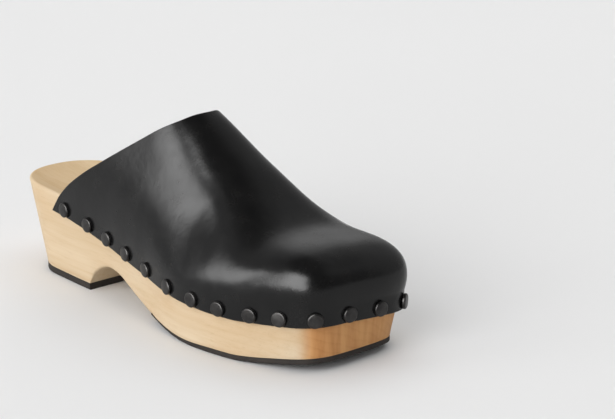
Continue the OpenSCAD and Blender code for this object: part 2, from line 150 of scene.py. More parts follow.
def underside(x):
    """Lower face of the wood. The breast of the heel rises from the top of its rubber."""
    breast = np.where((x > HEEL_END) & (x < 80), LIFT + (x - HEEL_END) * (9 - LIFT) / 3, 0)
    return np.maximum(ground(x) + rubber(x), breast)


def tucked(x, y):
    """Plan of the wood where it meets the rubber: the heel's back and the toe's inner corner lean in."""
    corner = TOE_UNDERCUT * ease((x - 205) / 50) * ease((y + 10) / 45)
    return x + HEEL_UNDERCUT * ease(1 - x / HEEL_END) - 0.9 * corner, y - 0.6 * corner


def toe_point(a, off):
    q0, q1 = quarter(np.abs(a), np.where(a < 0, TOE_OUTER_ROUNDNESS, TOE_INNER_ROUNDNESS))
    x = TOE_X + (TOE_DEPTH + off) * q0
    return np.stack([x, side_y(x, a, off) * q1], -1)


def heel_point(a, off):
    q0, q1 = quarter(np.abs(a), HEEL_ROUNDNESS)
    x = HEEL_X - (HEEL_X + off) * q0
    return np.stack([x, side_y(x, a, off) * q1], -1)


def toe_line(x_from, off, steps=120):
    x = np.linspace(x_from, TOE_X, steps, endpoint=False)
    return np.concatenate([
        np.stack([x, side_y(x, -1, off)], -1),
        toe_point(np.linspace(-90, 90, 2 * steps + 1), off),
        np.stack([x, side_y(x, 1, off)], -1)[::-1],
    ])


def heel_line(off, steps=120):
    return heel_point(np.linspace(-90, 90, 2 * steps + 1), off)


def shoulder(x, y):
    return TOE_SHOULDER * ease((x - 170) / 50) * (1 - ease((y - 5) / 30))


def at_share(line, u):
    run = np.concatenate([[0], np.cumsum(np.linalg.norm(np.diff(line, axis=0), axis=1))])
    return np.stack([np.interp(u, run / run[-1], line[:, c]) for c in range(line.shape[1])], -1)


def cap_ring(i, j, n):
    """A half disc drawn as n by 2n squares: ring 0 is its rim, ring n its middle."""
    return np.minimum(np.minimum(j, 2 * n - j), n - i)


def cap_turn(i, j, n):
    k = cap_ring(i, j, n)
    d = np.maximum(n - k, 1)
    turn = np.where(n - i == k, 0.25 + 0.25 * (j - k) / d, np.where(j == k, 0.25 * i / d, 1 - 0.25 * i / d))
    return np.where(k == n, 0.5, turn)


# ---------------------------------------------------------------- meshes
def quads(rows, columns):
    a = (np.arange(rows - 1)[:, None] * columns + np.arange(columns - 1)[None]).ravel()
    return np.stack([a, a + 1, a + columns + 1, a + columns], -1)


def strip(a, b):
    a, b = np.asarray(a), np.asarray(b)
    return np.stack([a[:-1], a[1:], b[1:], b[:-1]], -1)


def closed(ids):
    return np.concatenate([ids, ids[:1]])


def edge_ids(rows, columns):
    return np.concatenate([
        np.arange(columns - 1),
        np.arange(rows - 1) * columns + columns - 1,
        (rows - 1) * columns + np.arange(columns - 1, 0, -1),
        np.arange(rows - 1, 0, -1) * columns,
    ])


def vertex_normals(points, faces):
    a, b, c, d = (points[faces[:, k]] for k in range(4))
    cross = np.cross(c - a, d - b)
    normals = np.zeros_like(points)
    for k in range(4):
        np.add.at(normals, faces[:, k], cross)
    return normals / np.maximum(np.linalg.norm(normals, axis=1, keepdims=True), 1e-12)


def volume(points, faces):
    a, b, c, d = (points[faces[:, k]] for k in range(4))
    return (np.einsum("ij,ij->i", a, np.cross(b, c)) + np.einsum("ij,ij->i", a, np.cross(c, d))).sum() / 6


def make(name, points, faces, material, replaced, masks=(), crease=38):
    """Closed piece from points in millimetres and quads; masks are numbers on its points for its material."""
    faces = np.asarray(faces)
    if volume(points, faces) < 0:
        faces = faces[:, ::-1]
    mesh = bpy.data.meshes.new(name)
    mesh.from_pydata(((points - CENTRE) * MM).tolist(), [], faces.tolist())
    for title, values in masks:
        mesh.attributes.new(title, "FLOAT", "POINT").data.foreach_set("value", np.asarray(values, np.float32))
    mesh.validate()
    mesh.polygons.foreach_set("use_smooth", [True] * len(mesh.polygons))
    mesh.set_sharp_from_angle(angle=math.radians(crease))
    mesh.materials.append(material)
    piece = bpy.data.objects.new(name, mesh)
    bpy.context.scene.collection.objects.link(piece)
    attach(piece, "root")
    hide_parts(*replaced)
    return piece


def between(top, bottom, rings):
    """Points and quads of the closed solid between two grids, with rings of points down its wall."""
    rows, columns = top.shape[:2]
    n, edge = rows * columns, edge_ids(rows, columns)
    m = len(edge)
    levels = [edge] + [2 * n + k * m + np.arange(m) for k in range(len(rings))] + [edge + n]
    faces = [quads(rows, columns), quads(rows, columns)[:, ::-1] + n]
    faces += [strip(closed(a), closed(b))[:, ::-1] for a, b in zip(levels, levels[1:])]
    return np.concatenate([top.reshape(-1, 3), bottom.reshape(-1, 3), *rings]), np.concatenate(faces)


# ---------------------------------------------------------------- materials
def linear(r, g, b):
    return tuple(c / 12.92 if c <= 0.04045 else ((c + 0.055) / 1.055) ** 2.4 for c in (r, g, b)) + (1.0,)


class Nodes:
    """Short way to write a node tree."""

    def __init__(self, name):
        self.material = bpy.data.materials.new(name)
        self.material.use_nodes = True
        self.tree = self.material.node_tree
        self.tree.nodes.clear()
        self.surface = self.new("ShaderNodeBsdfPrincipled")
        out = self.new("ShaderNodeOutputMaterial")
        self.tree.links.new(self.surface.outputs[0], out.inputs["Surface"])
        self.place = self.new("ShaderNodeTexCoord").outputs["Object"]

    def new(self, kind, **settings):
        node = self.tree.nodes.new(kind)
        for key, value in settings.items():
            setattr(node, key, value)
        return node

    def put(self, socket, value):
        if isinstance(value, bpy.types.NodeSocket):
            self.tree.links.new(value, socket)
        elif value is not None:
            socket.default_value = value

    def stretched(self, x, y, z, shift=(0, 0, 0)):
        """Place in cycles per metre along each axis."""
        node = self.new("ShaderNodeMapping")
        self.put(node.inputs["Vector"], self.place)
        node.inputs["Scale"].default_value = (x, y, z)
        node.inputs["Location"].default_value = shift
        return node.outputs[0]

    def noise(self, vector, detail=3.0, roughness=0.5, distortion=0.0):
        node = self.new("ShaderNodeTexNoise")
        self.put(node.inputs["Vector"], vector)
        node.inputs["Scale"].default_value = 1.0
        node.inputs["Detail"].default_value = detail
        node.inputs["Roughness"].default_value = roughness
        node.inputs["Distortion"].default_value = distortion
        return node.outputs["Fac"]

    def cells(self, vector, feature="F1"):
        node = self.new("ShaderNodeTexVoronoi", feature=feature)
        self.put(node.inputs["Vector"], vector)
        node.inputs["Scale"].default_value = 1.0
        return node.outputs["Distance"]

    def math(self, operation, a, b=0.0, c=0.0):
        node = self.new("ShaderNodeMath", operation=operation)
        for socket, value in zip(node.inputs, (a, b, c)):
            self.put(socket, value)
        return node.outputs[0]

    def span(self, value, low, high, to_low=0.0, to_high=1.0, smooth=True):
        node = self.new("ShaderNodeMapRange", interpolation_type="SMOOTHSTEP" if smooth else "LINEAR")
        self.put(node.inputs["Value"], value)
        for key, number in (("From Min", low), ("From Max", high), ("To Min", to_low), ("To Max", to_high)):
            node.inputs[key].default_value = number
        return node.outputs[0]

    def mix(self, share, a, b, blend="MIX"):
        node = self.new("ShaderNodeMix", data_type="RGBA", blend_type=blend)
        self.put(node.inputs[0], share)
        self.put(node.inputs[6], a)
        self.put(node.inputs[7], b)
        return node.outputs[2]

    def ramp(self, value, *stops):
        node = self.new("ShaderNodeValToRGB")
        self.put(node.inputs[0], value)
        elements = node.color_ramp.elements
        while len(elements) < len(stops):
            elements.new(0.5)
        for element, (at, colour) in zip(elements, stops):
            element.position, element.color = at, colour
        return node.outputs[0]

    def mask(self, title):
        return self.new("ShaderNodeAttribute", attribute_name=title).outputs["Fac"]

    def bump(self, height, distance, strength=1.0, normal=None):
        """Bump whose height of 1 stands for distance metres."""
        node = self.new("ShaderNodeBump")
        node.inputs["Strength"].default_value = strength
        node.inputs["Distance"].default_value = distance
        self.put(node.inputs["Height"], height)
        self.put(node.inputs["Normal"], normal)
        return node.outputs[0]

    def finish(self, **inputs):
        for key, value in inputs.items():
            self.put(self.surface.inputs[key.replace("_", " ")], value)
        return self.material


RINGS_PER_METRE = 230.0  # year rings of the wood, counted out from the trunk's middle


def wood():
    n = Nodes("pale_wood")
    wander = n.noise(n.stretched(9, 26, 26), 3, 0.5)
    rings_at = n.new("ShaderNodeMapping")
    n.put(rings_at.inputs["Vector"], n.place)
    rings_at.inputs["Location"].default_value = (0.0, 0.075, 0.16)
    bent = n.new("ShaderNodeVectorMath", operation="MULTIPLY_ADD")
    n.put(bent.inputs[0], wander)
    bent.inputs[1].default_value = (0.0, 0.011, 0.011)
    n.put(bent.inputs[2], rings_at.outputs[0])
    parts = n.new("ShaderNodeSeparateXYZ")
    n.put(parts.inputs[0], bent.outputs[0])
    y2, z2 = (n.math("POWER", parts.outputs[k], 2.0) for k in (1, 2))
    radius = n.math("SQRT", n.math("ADD", y2, z2))
    ring = n.math("FRACT", n.math("MULTIPLY", radius, RINGS_PER_METRE))
    late = n.span(ring, 0.55, 1.0)
    fibre = n.noise(n.stretched(14, 420, 420), 4, 0.6)
    streak = n.noise(n.stretched(7, 75, 75), 3, 0.55)
    cloud = n.noise(n.stretched(16, 22, 22), 2, 0.5)
    pores = n.span(n.noise(n.stretched(55, 1500, 1500), 2, 0.6), 0.60, 0.72)
    end = n.mask("end_grain")

    pale = n.ramp(
        streak, (0.28, linear(0.793, 0.702, 0.573)), (0.5, linear(0.821, 0.738, 0.619)),
        (0.72, linear(0.839, 0.766, 0.656)),
    )
    warm = n.mix(n.span(cloud, 0.42, 0.72, 0.0, 0.5), pale, linear(0.779, 0.660, 0.504))
    ringed = n.mix(n.math("MULTIPLY", late, 0.11), warm, linear(0.734, 0.605, 0.440))
    fibred = n.mix(n.span(fibre, 0.40, 0.72, 0.0, 0.17), ringed, linear(0.715, 0.587, 0.431))
    pored = n.mix(n.math("MULTIPLY", pores, 0.16), fibred, linear(0.569, 0.422, 0.275))
    sawn = n.noise(n.stretched(40, 150, 24), 3, 0.55)
    end_colour = n.ramp(
        n.math("ADD", n.math("MULTIPLY", sawn, 0.9), n.math("MULTIPLY", late, 0.05)),
        (0.30, linear(0.80, 0.60, 0.39)), (0.5, linear(0.74, 0.53, 0.33)), (0.68, linear(0.66, 0.45, 0.26)),
    )
    bed = n.mix(n.mask("bed"), pored, n.mix(1.0, pored, (0.98, 0.93, 0.83, 1), "MULTIPLY"))
    colour = n.mix(end, bed, end_colour)
    height = n.math("SUBTRACT", n.math("MULTIPLY", fibre, 0.5), n.math("MULTIPLY", pores, 0.5))
    rough = n.span(fibre, 0.3, 0.75, 0.50, 0.62)
    return n.finish(
        Base_Color=colour, Roughness=rough, Specular_IOR_Level=0.2,
        Normal=n.bump(height, 0.00010, 0.6),
    )


def leather():
    n = Nodes("black_leather")
    soft = n.noise(n.stretched(30, 30, 30), 2, 0.5)
    rub = n.noise(n.stretched(95, 95, 95), 4, 0.6)
    grain = n.cells(n.stretched(1500, 1500, 1500, (3, 1, 2)), "DISTANCE_TO_EDGE")
    crackle = n.span(grain, 0.0, 0.14)
    fine = n.noise(n.stretched(3200, 3200, 3200), 2, 0.6)
    cut = n.mask("cut")
    base = n.ramp(
        rub, (0.3, linear(0.066, 0.066, 0.068)), (0.6, linear(0.078, 0.077, 0.077)),
        (0.8, linear(0.092, 0.090, 0.088)),
    )
    raw = n.ramp(fine, (0.35, linear(0.09, 0.085, 0.08)), (0.7, linear(0.16, 0.145, 0.135)))
    colour = n.mix(cut, base, raw)
    rough = n.math("ADD", n.span(rub, 0.3, 0.75, 0.215, 0.285), n.math("MULTIPLY", cut, 0.25))
    broad = n.bump(soft, 0.0016, 0.25)
    mid = n.bump(rub, 0.0004, 0.42, broad)
    both = n.math("ADD", n.math("MULTIPLY", crackle, 0.5), n.math("MULTIPLY", fine, 0.5))
    small = n.bump(both, 0.00003, 0.2, mid)
    return n.finish(Base_Color=colour, Roughness=rough, Specular_IOR_Level=0.235, Normal=small)


def lining_leather():
    n = Nodes("lining_leather")
    blotch = n.noise(n.stretched(60, 60, 60), 4, 0.6)
    pores = n.cells(n.stretched(900, 900, 900))
    cut = n.mask("cut")
    base = n.ramp(blotch, (0.3, linear(0.16, 0.15, 0.145)), (0.7, linear(0.215, 0.20, 0.19)))
    colour = n.mix(n.span(pores, 0.0, 0.28, 0.6, 0.0), base, linear(0.11, 0.10, 0.095))
    colour = n.mix(cut, colour, linear(0.13, 0.12, 0.11))
    height = n.span(pores, 0.0, 0.35)
    return n.finish(Base_Color=colour, Roughness=n.span(blotch, 0.3, 0.7, 0.62, 0.74), Specular_IOR_Level=0.3,
                    Normal=n.bump(height, 0.00012, 0.5))


def tread_rubber():
    n = Nodes("tread_rubber")
    blotch = n.noise(n.stretched(120, 120, 120), 4, 0.6)
    fine = n.noise(n.stretched(1800, 1800, 1800), 3, 0.6)
    colour = n.ramp(blotch, (0.3, linear(0.135, 0.120, 0.110)), (0.7, linear(0.185, 0.165, 0.150)))
    colour = n.mix(n.span(fine, 0.55, 0.75, 0.0, 0.4), colour, linear(0.25, 0.23, 0.21))
    return n.finish(Base_Color=colour, Roughness=n.span(fine, 0.3, 0.7, 0.62, 0.8), Specular_IOR_Level=0.35,
                    Normal=n.bump(fine, 0.00012, 0.5))


def stiffener():
    n = Nodes("stiffener")
    felt = n.noise(n.stretched(700, 700, 700), 4, 0.7)
    colour = n.ramp(felt, (0.3, linear(0.70, 0.63, 0.50)), (0.7, linear(0.80, 0.74, 0.62)))
    return n.finish(Base_Color=colour, Roughness=0.85, Specular_IOR_Level=0.2,
                    Normal=n.bump(felt, 0.0002, 0.6))


def metal(name, dark, light, rough_low, rough_high, metallic):
    n = Nodes(name)
    cloud = n.noise(n.stretched(220, 220, 220), 3, 0.6)
    scratches = n.noise(n.stretched(2600, 900, 1700), 3, 0.7)
    colour = n.ramp(cloud, (0.3, linear(*dark)), (0.75, linear(*light)))
    rough = n.span(n.math("ADD", n.math("MULTIPLY", cloud, 0.6), n.math("MULTIPLY", scratches, 0.4)),
                   0.35, 0.65, rough_low, rough_high)
    height = n.math("ADD", n.math("MULTIPLY", cloud, 0.8), n.math("MULTIPLY", scratches, 0.2))
    return n.finish(Base_Color=colour, Metallic=metallic, Roughness=rough, Specular_IOR_Level=0.5,
                    Normal=n.bump(height, 0.00016, 0.5))


WOOD, LEATHER_LOOK, LINING_LOOK = wood(), leather(), lining_leather()
RUBBER, STIFFENER = tread_rubber(), stiffener()
STUD_METAL = metal("stud_metal", (0.17, 0.165, 0.165), (0.27, 0.265, 0.26), 0.30, 0.46, 0.8)
NAIL_STEEL = metal("nail_steel", (0.55, 0.54, 0.52), (0.72, 0.71, 0.69), 0.3, 0.5, 1.0)

# ---------------------------------------------------------------- sole
K_SOLE = 26  # squares from the middle line to the wall
# The footbed's edge: its rounding, how far it lies below the last's rim, and how steeply the dish starts
RIM_R, RIM_DROP, DISH_POWER = 1.4, 0.15, 3.2
# Rounding of the wood's lower edge over the rubber, and how much more of it in the waist
LOW_R, WAIST_R = 0.25, 1.3


def plan_grid(x_rows, off, heel_cap=True, toe_cap=True, n=K_SOLE):
    """Grid over the plan at a distance off outside the wood's wall: x, y, and share from the middle line (0)
    to the wall (1). Half discs close the heel and the toe."""
    columns = 2 * n + 1
    j = np.arange(columns)
    parts = []
    if heel_cap:
        i, jj = np.meshgrid(np.arange(n, 0, -1), j, indexing="ij")
        share = 1 - cap_ring(i, jj, n) / n
        rim = at_share(heel_line(off), cap_turn(i, jj, n))
        middle = np.array([HEEL_X, last(HEEL_X, RIDGE_Y)])
        parts.append(np.concatenate([lerp(middle, rim, share[..., None]), share[..., None]], -1))
    x = np.repeat(np.asarray(x_rows, float)[:, None], columns, 1)
    share = np.repeat((np.abs(j - n) / n)[None], len(x_rows), 0)
    side = np.where(j < n, -1, 1)[None]
    y = lerp(last(x, RIDGE_Y), side_y(x, side, off), share)
    parts.append(np.stack([x, y, share], -1))
    if toe_cap:
        i, jj = np.meshgrid(np.arange(1, n + 1), j, indexing="ij")
        share = 1 - cap_ring(i, jj, n) / n
        rim = at_share(toe_line(CROWN_X, off), cap_turn(i, jj, n))
        middle = np.array([CROWN_X, last(CROWN_X, RIDGE_Y)])
        parts.append(np.concatenate([lerp(middle, rim, share[..., None]), share[..., None]], -1))
    return np.concatenate(parts)


def build_sole():
    rows = np.concatenate([
        np.linspace(HEEL_X, HEEL_END, 18), [77.02], np.linspace(77.8, 98, 22), np.linspace(100, 140, 21),
        [OUTSOLE_START - 0.02], np.linspace(OUTSOLE_START, CROWN_X, 20),
    ])

    def ring(off, z_of):
        p = plan_grid(rows, off).reshape(-1, 3)[edge]
        return askew(np.stack([p[:, 0], p[:, 1], z_of(p[:, 0])], -1))

    top = plan_grid(rows, -RIM_R)
    edge = edge_ids(*top.shape[:2])
    share = top[..., 2]
    hollow = RIM_DROP + (DISH - RIM_DROP) * (1 - share**DISH_POWER)
    bed = askew(np.stack([top[..., 0], top[..., 1], last(top[..., 0], RIM) - hollow], -1))
    rings = []
    for a in (12, 26, 42, 60, 78):
        t = math.radians(a)
        in_by, down = 1 - math.sin(t), 1 - math.cos(t)
        rings.append(ring(-RIM_R * in_by, lambda x: last(x, RIM) - RIM_R * down - RIM_DROP * in_by))
    full = plan_grid(rows, 0.0)
    flat = full.reshape(-1, 3)[edge]

    def bare(x):
        """How far a lower edge is from the rubber: 0 over it, 1 in the waist."""
        return ease((x - 77.5) / 3) * ease((150 - x) / 12)

    low_r = LOW_R + WAIST_R * bare(flat[:, 0])
    top_z = last(flat[:, 0], RIM) - RIM_R
    base_x, base_y = tucked(flat[:, 0], flat[:, 1])
    base_z = underside(base_x) + low_r
    for t in np.linspace(0, 1, 9):
        wall = [lerp(flat[:, 0], base_x, t), lerp(flat[:, 1], base_y, t), lerp(top_z, base_z, t)]
        rings.append(askew(np.stack(wall, -1)))
    inner = plan_grid(rows, -1.0).reshape(-1, 3)[edge]
    step = inner[:, :2] - flat[:, :2]
    for a in (30, 60):
        t = math.radians(a)
        out = (1 - math.cos(t)) * low_r
        x, y = base_x + step[:, 0] * out, base_y + step[:, 1] * out
        rings.append(askew(np.stack([x, y, underside(base_x) + low_r * (1 - math.sin(t))], -1)))
    lowest = plan_grid(rows, 0.0)
    radius = LOW_R + WAIST_R * bare(lowest[..., 0])
    pulled = plan_grid(rows, -1.0)
    move = (pulled[..., :2] - lowest[..., :2]) * radius[..., None] * lowest[..., 2:3] ** 6
    low_x, low_y = tucked(lowest[..., 0], lowest[..., 1])
    base = askew(np.stack([low_x + move[..., 0], low_y + move[..., 1], underside(low_x)], -1))
    points, faces = between(bed, base, rings)
    # The fibres run along x, so walls that face along it show their ends
    facing = np.abs(vertex_normals(points, faces)[:, 0])
    end = ease((facing - 0.52) / 0.3) * ease((points[:, 0] - 150) / 60)
    on_bed = np.zeros(len(points))
    on_bed[:bed.shape[0] * bed.shape[1]] = 1
    heel_end = ease((facing - 0.5) / 0.45) * 0.35 * (points[:, 0] < 60)
    masks = [("end_grain", np.maximum(end, heel_end)), ("bed", on_bed)]
    make("carved_sole", points, faces, WOOD, ["wooden_sole"], masks, 50)


def build_lift():
    rows = np.linspace(HEEL_X, HEEL_END, 16)

    def grid(off, z):
        p = plan_grid(rows, off, toe_cap=False, n=16)
        return np.stack([*tucked(p[..., 0], p[..., 1]), np.full(p.shape[:2], z)], -1)

    top, bottom = grid(0, LIFT - 0.05), grid(-0.5, 0.0)
    edge = edge_ids(*top.shape[:2])
    rings = []
    for off, z in ((0, LIFT - 0.4), (0, 2.4), (0, 1.2), (0, 0.5), (-0.15, 0.15)):
        rings.append(grid(off, z).reshape(-1, 3)[edge])
    points, faces = between(top, bottom, rings)
    make("heel_rubber", points, faces, RUBBER, ["heel_top_lift"], (), 50)


def build_outsole():
    rows = np.linspace(OUTSOLE_START, CROWN_X, 24)

    def grid(off, level):
        p = plan_grid(rows, off, heel_cap=False)
        x, y = tucked(p[..., 0], p[..., 1])
        return askew(np.stack([x, y, lerp(ground(x), underside(x) - GAP, level)], -1))

    top, bottom = grid(0, 1.0), grid(-0.5, 0.0)
    edge = edge_ids(*top.shape[:2])
    steps = ((0, 0.85), (0, 0.5), (0, 0.16), (-0.15, 0.05))
    rings = [grid(off, level).reshape(-1, 3)[edge] for off, level in steps]
    points, faces = between(top, bottom, rings)
    make("forefoot_rubber", points, faces, RUBBER, ["forefoot_outsole"], (), 50)


# ---------------------------------------------------------------- upper
K, S = 36, 56
ROWS, COLUMNS = S + K + 1, 2 * K + 1
LEVELS = 8  # rows of squares down the lap
# How deep a stud pulls the leather in, how wide, and how far in and out from the stud's foot it counts
DENT, DENT_REACH, DENT_WITHIN = 0.32, 5.2, 12
PUFF_FROM = 0.75  # where the stiffener begins, as a share of the way from the topline to the crown


def upper_grid(off):
    i, j = np.meshgrid(np.arange(ROWS), np.arange(COLUMNS), indexing="ij")
    side = np.where(j < K, -1, 1)
    a = 90 * np.minimum(j, 2 * K - j) / K
    # cross sections, from the topline to the crown of the toe
    x = lerp(through(TOPLINE, a, 1), CROWN_X, np.minimum(i, S) / S)
    share = ease((a - CREST_FROM) / (90 - CREST_FROM))
    squareness = lerp(last(x, WALL), last(x, CREST), share) + shoulder(x, side_y(x, side, off))
    q0, q1 = quarter(a, squareness)
    rise = last(x, RIDGE_Z) - (LEATHER_OUT - off) - last(x, RIM)
    section = np.stack([x, lerp(last(x, RIDGE_Y), side_y(x, side, off), q0), last(x, RIM) + rise * q1], -1)
    # spokes, from the crown to the rim of the toe
    ci = np.maximum(i - S, 1)
    ring = cap_ring(ci, j, K)
    rim = at_share(toe_line(CROWN_X, off), cap_turn(ci, j, K))
    a = 90 * ring / K
    forward = (rim[..., 0] - CROWN_X) / (TOE_X + TOE_DEPTH + off - CROWN_X)
    wall = lerp(last(np.minimum(rim[..., 0], TOE_X), WALL), TOE_FRONT_ROUNDNESS, forward**3)
    crest = last(lerp(CROWN_X, rim[..., 0], np.cos(np.radians(a))), CREST)
    share = ease((a - CREST_FROM) / (90 - CREST_FROM))
    squareness = lerp(wall, crest, share) + shoulder(rim[..., 0], rim[..., 1])
    q0, q1 = quarter(a, squareness)
    crown_y = last(CROWN_X, RIDGE_Y)
    reach = np.hypot(rim[..., 0] - CROWN_X, rim[..., 1] - crown_y)
    bulge = TOE_BULGE * ease((rim[..., 0] - 200) / 40) * lerp(0.2, 1.0, ease((rim[..., 1] + 10) / 40))
    x = lerp(CROWN_X, rim[..., 0], q0)
    rise = last(x, RIDGE_Z) - (LEATHER_OUT - off) - last(x, RIM)
    z = last(x, RIM) + rise * q1
    q0 = q0 * (1 + bulge / reach * np.sin(np.pi * np.minimum(a / 75, 1)))
    cap = np.stack([lerp(CROWN_X, rim[..., 0], q0), lerp(crown_y, rim[..., 1], q0), z], -1)
    return np.where((i <= S)[..., None], section, cap)


UPPER_EDGE = np.concatenate([
    np.arange(ROWS) * COLUMNS,
    (ROWS - 1) * COLUMNS + np.arange(1, COLUMNS - 1),
    np.arange(ROWS - 1, -1, -1) * COLUMNS + COLUMNS - 1,
])


def relaxed(grid, rounds, keep=3):
    """Evens out a grid inside its border; rows and columns near the border move less."""
    i, j = np.meshgrid(np.arange(ROWS), np.arange(COLUMNS), indexing="ij")
    inside = np.minimum(np.minimum(j, COLUMNS - 1 - j), np.minimum(i, ROWS - 1 - i))
    weight = ease(inside / keep)[1:-1, 1:-1, None]
    grid = grid.copy()
    for _ in range(rounds):
        for amount in (0.5, -0.52):
            mean = (grid[:-2, 1:-1] + grid[2:, 1:-1] + grid[1:-1, :-2] + grid[1:-1, 2:]) / 4
            grid[1:-1, 1:-1] += amount * weight * (mean - grid[1:-1, 1:-1])
    return grid


def stud_places():
    """Middle of each stud's foot on the leather, and its outward direction in plan."""
    line = toe_line(STUD_START, LEATHER_OUT)
    line = askew(np.column_stack([line, last(line[:, 0], RIM) - LAP + STUD_RISE]))
    u = np.arange(STUD_COUNT) / (STUD_COUNT - 1)
    u = u + np.interp(u, UNEVEN[:, 0], UNEVEN[:, 1]) / np.linalg.norm(np.diff(line, axis=0), axis=1).sum()
    a, b = at_share(line, np.clip(u - 0.01, 0, 1)), at_share(line, np.clip(u + 0.01, 0, 1))
    out = np.stack([b[:, 1] - a[:, 1], a[:, 0] - b[:, 0], np.zeros(STUD_COUNT)], -1)
    return at_share(line, u), out / np.linalg.norm(out, axis=1, keepdims=True)


STUDS, STUD_OUT = stud_places()


def sheet_points():
    """The leather's outer face with its lap over the wood, as points and quads."""
    grid = relaxed(upper_grid(LEATHER_OUT), 24)
    flat = grid.reshape(-1, 3)
    n, m = len(flat), len(UPPER_EDGE)
    rim = flat[UPPER_EDGE]
    levels = []
    for k in range(1, LEVELS + 1):
        depth = LAP * k / LEVELS
        back = LAP_SLANT * depth / LAP * ease(1 - (rim[:, 0] - TOPLINE[0, 1]) / LAP_SLANT_REACH)
        x = rim[:, 0] - back
        levels.append(np.stack([x, rim[:, 1], last(x, RIM) - depth], -1))
    faces = [quads(ROWS, COLUMNS)]
    chain = [UPPER_EDGE] + [n + k * m + np.arange(m) for k in range(LEVELS)]
    faces += [strip(a, b) for a, b in zip(chain, chain[1:])]
    border = np.concatenate([
        np.arange(COLUMNS),
        [n + k * m + m - 1 for k in range(LEVELS)],
        n + (LEVELS - 1) * m + np.arange(m - 2, -1, -1),
        [n + k * m for k in range(LEVELS - 2, -1, -1)],
    ])
    return askew(np.concatenate([flat, *levels])), np.concatenate(faces), border


def skin(points, normals, faces, border, depth, thickness):
    """Closed sheet whose outer face lies depth under the given one, with a rounded edge all round."""
    depth = np.broadcast_to(depth, len(points))[:, None]
    outer, inner = points - normals * depth, points - normals * (depth + thickness)
    n, m = len(points), len(border)
    p, normal = points[border], normals[border]
    along = np.roll(p, -1, 0) - np.roll(p, 1, 0)
    out = np.cross(along, normal)
    out /= np.maximum(np.linalg.norm(out, axis=1, keepdims=True), 1e-9)
    if np.einsum("ij,ij->", out[: COLUMNS], np.tile([-1.0, 0, 0], (COLUMNS, 1))) < 0:
        out = -out
    middle = (outer[border] + inner[border]) / 2
    arcs = [
        middle + thickness / 2 * (math.cos(t) * normal + 0.75 * math.sin(t) * out)
        for t in np.radians((30, 60, 90, 120, 150))
    ]
    chain = [border] + [2 * n + k * m + np.arange(m) for k in range(len(arcs))] + [border + n]
    joined = [faces, faces[:, ::-1] + n] + [strip(closed(b), closed(a)) for a, b in zip(chain, chain[1:])]
    cut = np.concatenate([np.zeros(2 * n), np.ones(m * len(arcs))])
    return np.concatenate([outer, inner, *arcs]), np.concatenate(joined), cut


def dented(points, normals):
    """The leather is pulled in under each stud."""
    moved = points.copy()
    for place, out in zip(STUDS, STUD_OUT):
        away = points - place
        away -= np.outer(away @ out, out)
        d = np.linalg.norm(away, axis=1)
        near = np.abs((points - place) @ out) < DENT_WITHIN
        moved -= normals * (near * DENT * np.exp(-((d / DENT_REACH) ** 2)))[:, None]
    return moved


def build_upper():
    points, faces, border = sheet_points()
    normals = vertex_normals(points, faces)
    if normals[(S // 2) * COLUMNS + K, 2] < 0:
        faces = faces[:, ::-1]
        normals = -normals
    hit = dented(points, normals)
    shell, shell_faces, cut = skin(hit, normals, faces, border, 0.0, LEATHER)
    masks = [("cut", cut)]
    make("leather_vamp", shell, shell_faces, LEATHER_LOOK, ["leather_upper"], masks, 60)

    i, j = np.meshgrid(np.arange(ROWS), np.arange(COLUMNS), indexing="ij")
    ring = np.where(i < S, np.minimum(j, 2 * K - j), cap_ring(np.maximum(i - S, 1), j, K)) * 10 / K
    forward = (i - S * PUFF_FROM) * 12 / S
    puff = np.minimum(ease(ring / 3), ease((forward + 1) / 4)).ravel()
    puff = np.concatenate([puff, np.zeros(len(points) - len(puff))])
    depth = LEATHER + GAP + (PUFF + GAP) * puff
    inside, inside_faces, cut = skin(points, normals, faces, border, depth, LINING)
    masks = [("cut", cut)]
    make("leather_lining", inside, inside_faces, LINING_LOOK, ["vamp_lining"], masks, 60)

    first = int(S * PUFF_FROM)
    take = (np.arange(first, ROWS - 2)[:, None] * COLUMNS + np.arange(2, COLUMNS - 2)[None])
    top = points[take] - normals[take] * (LEATHER + GAP / 3)
    low = points[take] - normals[take] * (LEATHER + GAP / 3 + 0.02 + (PUFF - 0.02) * puff[take])[..., None]
    puff_points, puff_faces = between(top, low, [])
    make("toe_stiffener", puff_points, puff_faces, STIFFENER, ["toe_puff"], (), 60)


# ---------------------------------------------------------------- studs
def revolved(profile, sides):
    """Closed solid from a profile of (radius, height) whose ends lie on the axis."""
    rings = [np.array([[r * math.cos(a), r * math.sin(a), z] for a in np.arange(sides) * 2 * math.pi / sides])
             for r, z in profile[1:-1]]
    points = np.concatenate([[[0, 0, profile[0][1]]], *rings, [[0, 0, profile[-1][1]]]])
    faces = []
    for s in range(sides):
        t = (s + 1) % sides
        faces.append([0, 1 + t, 1 + s])
        for k in range(len(rings) - 1):
            a = 1 + k * sides
            faces.append([a + s, a + t, a + sides + t, a + sides + s])
        a = 1 + (len(rings) - 1) * sides
        faces.append([a + s, a + t, len(points) - 1])
    return points, faces


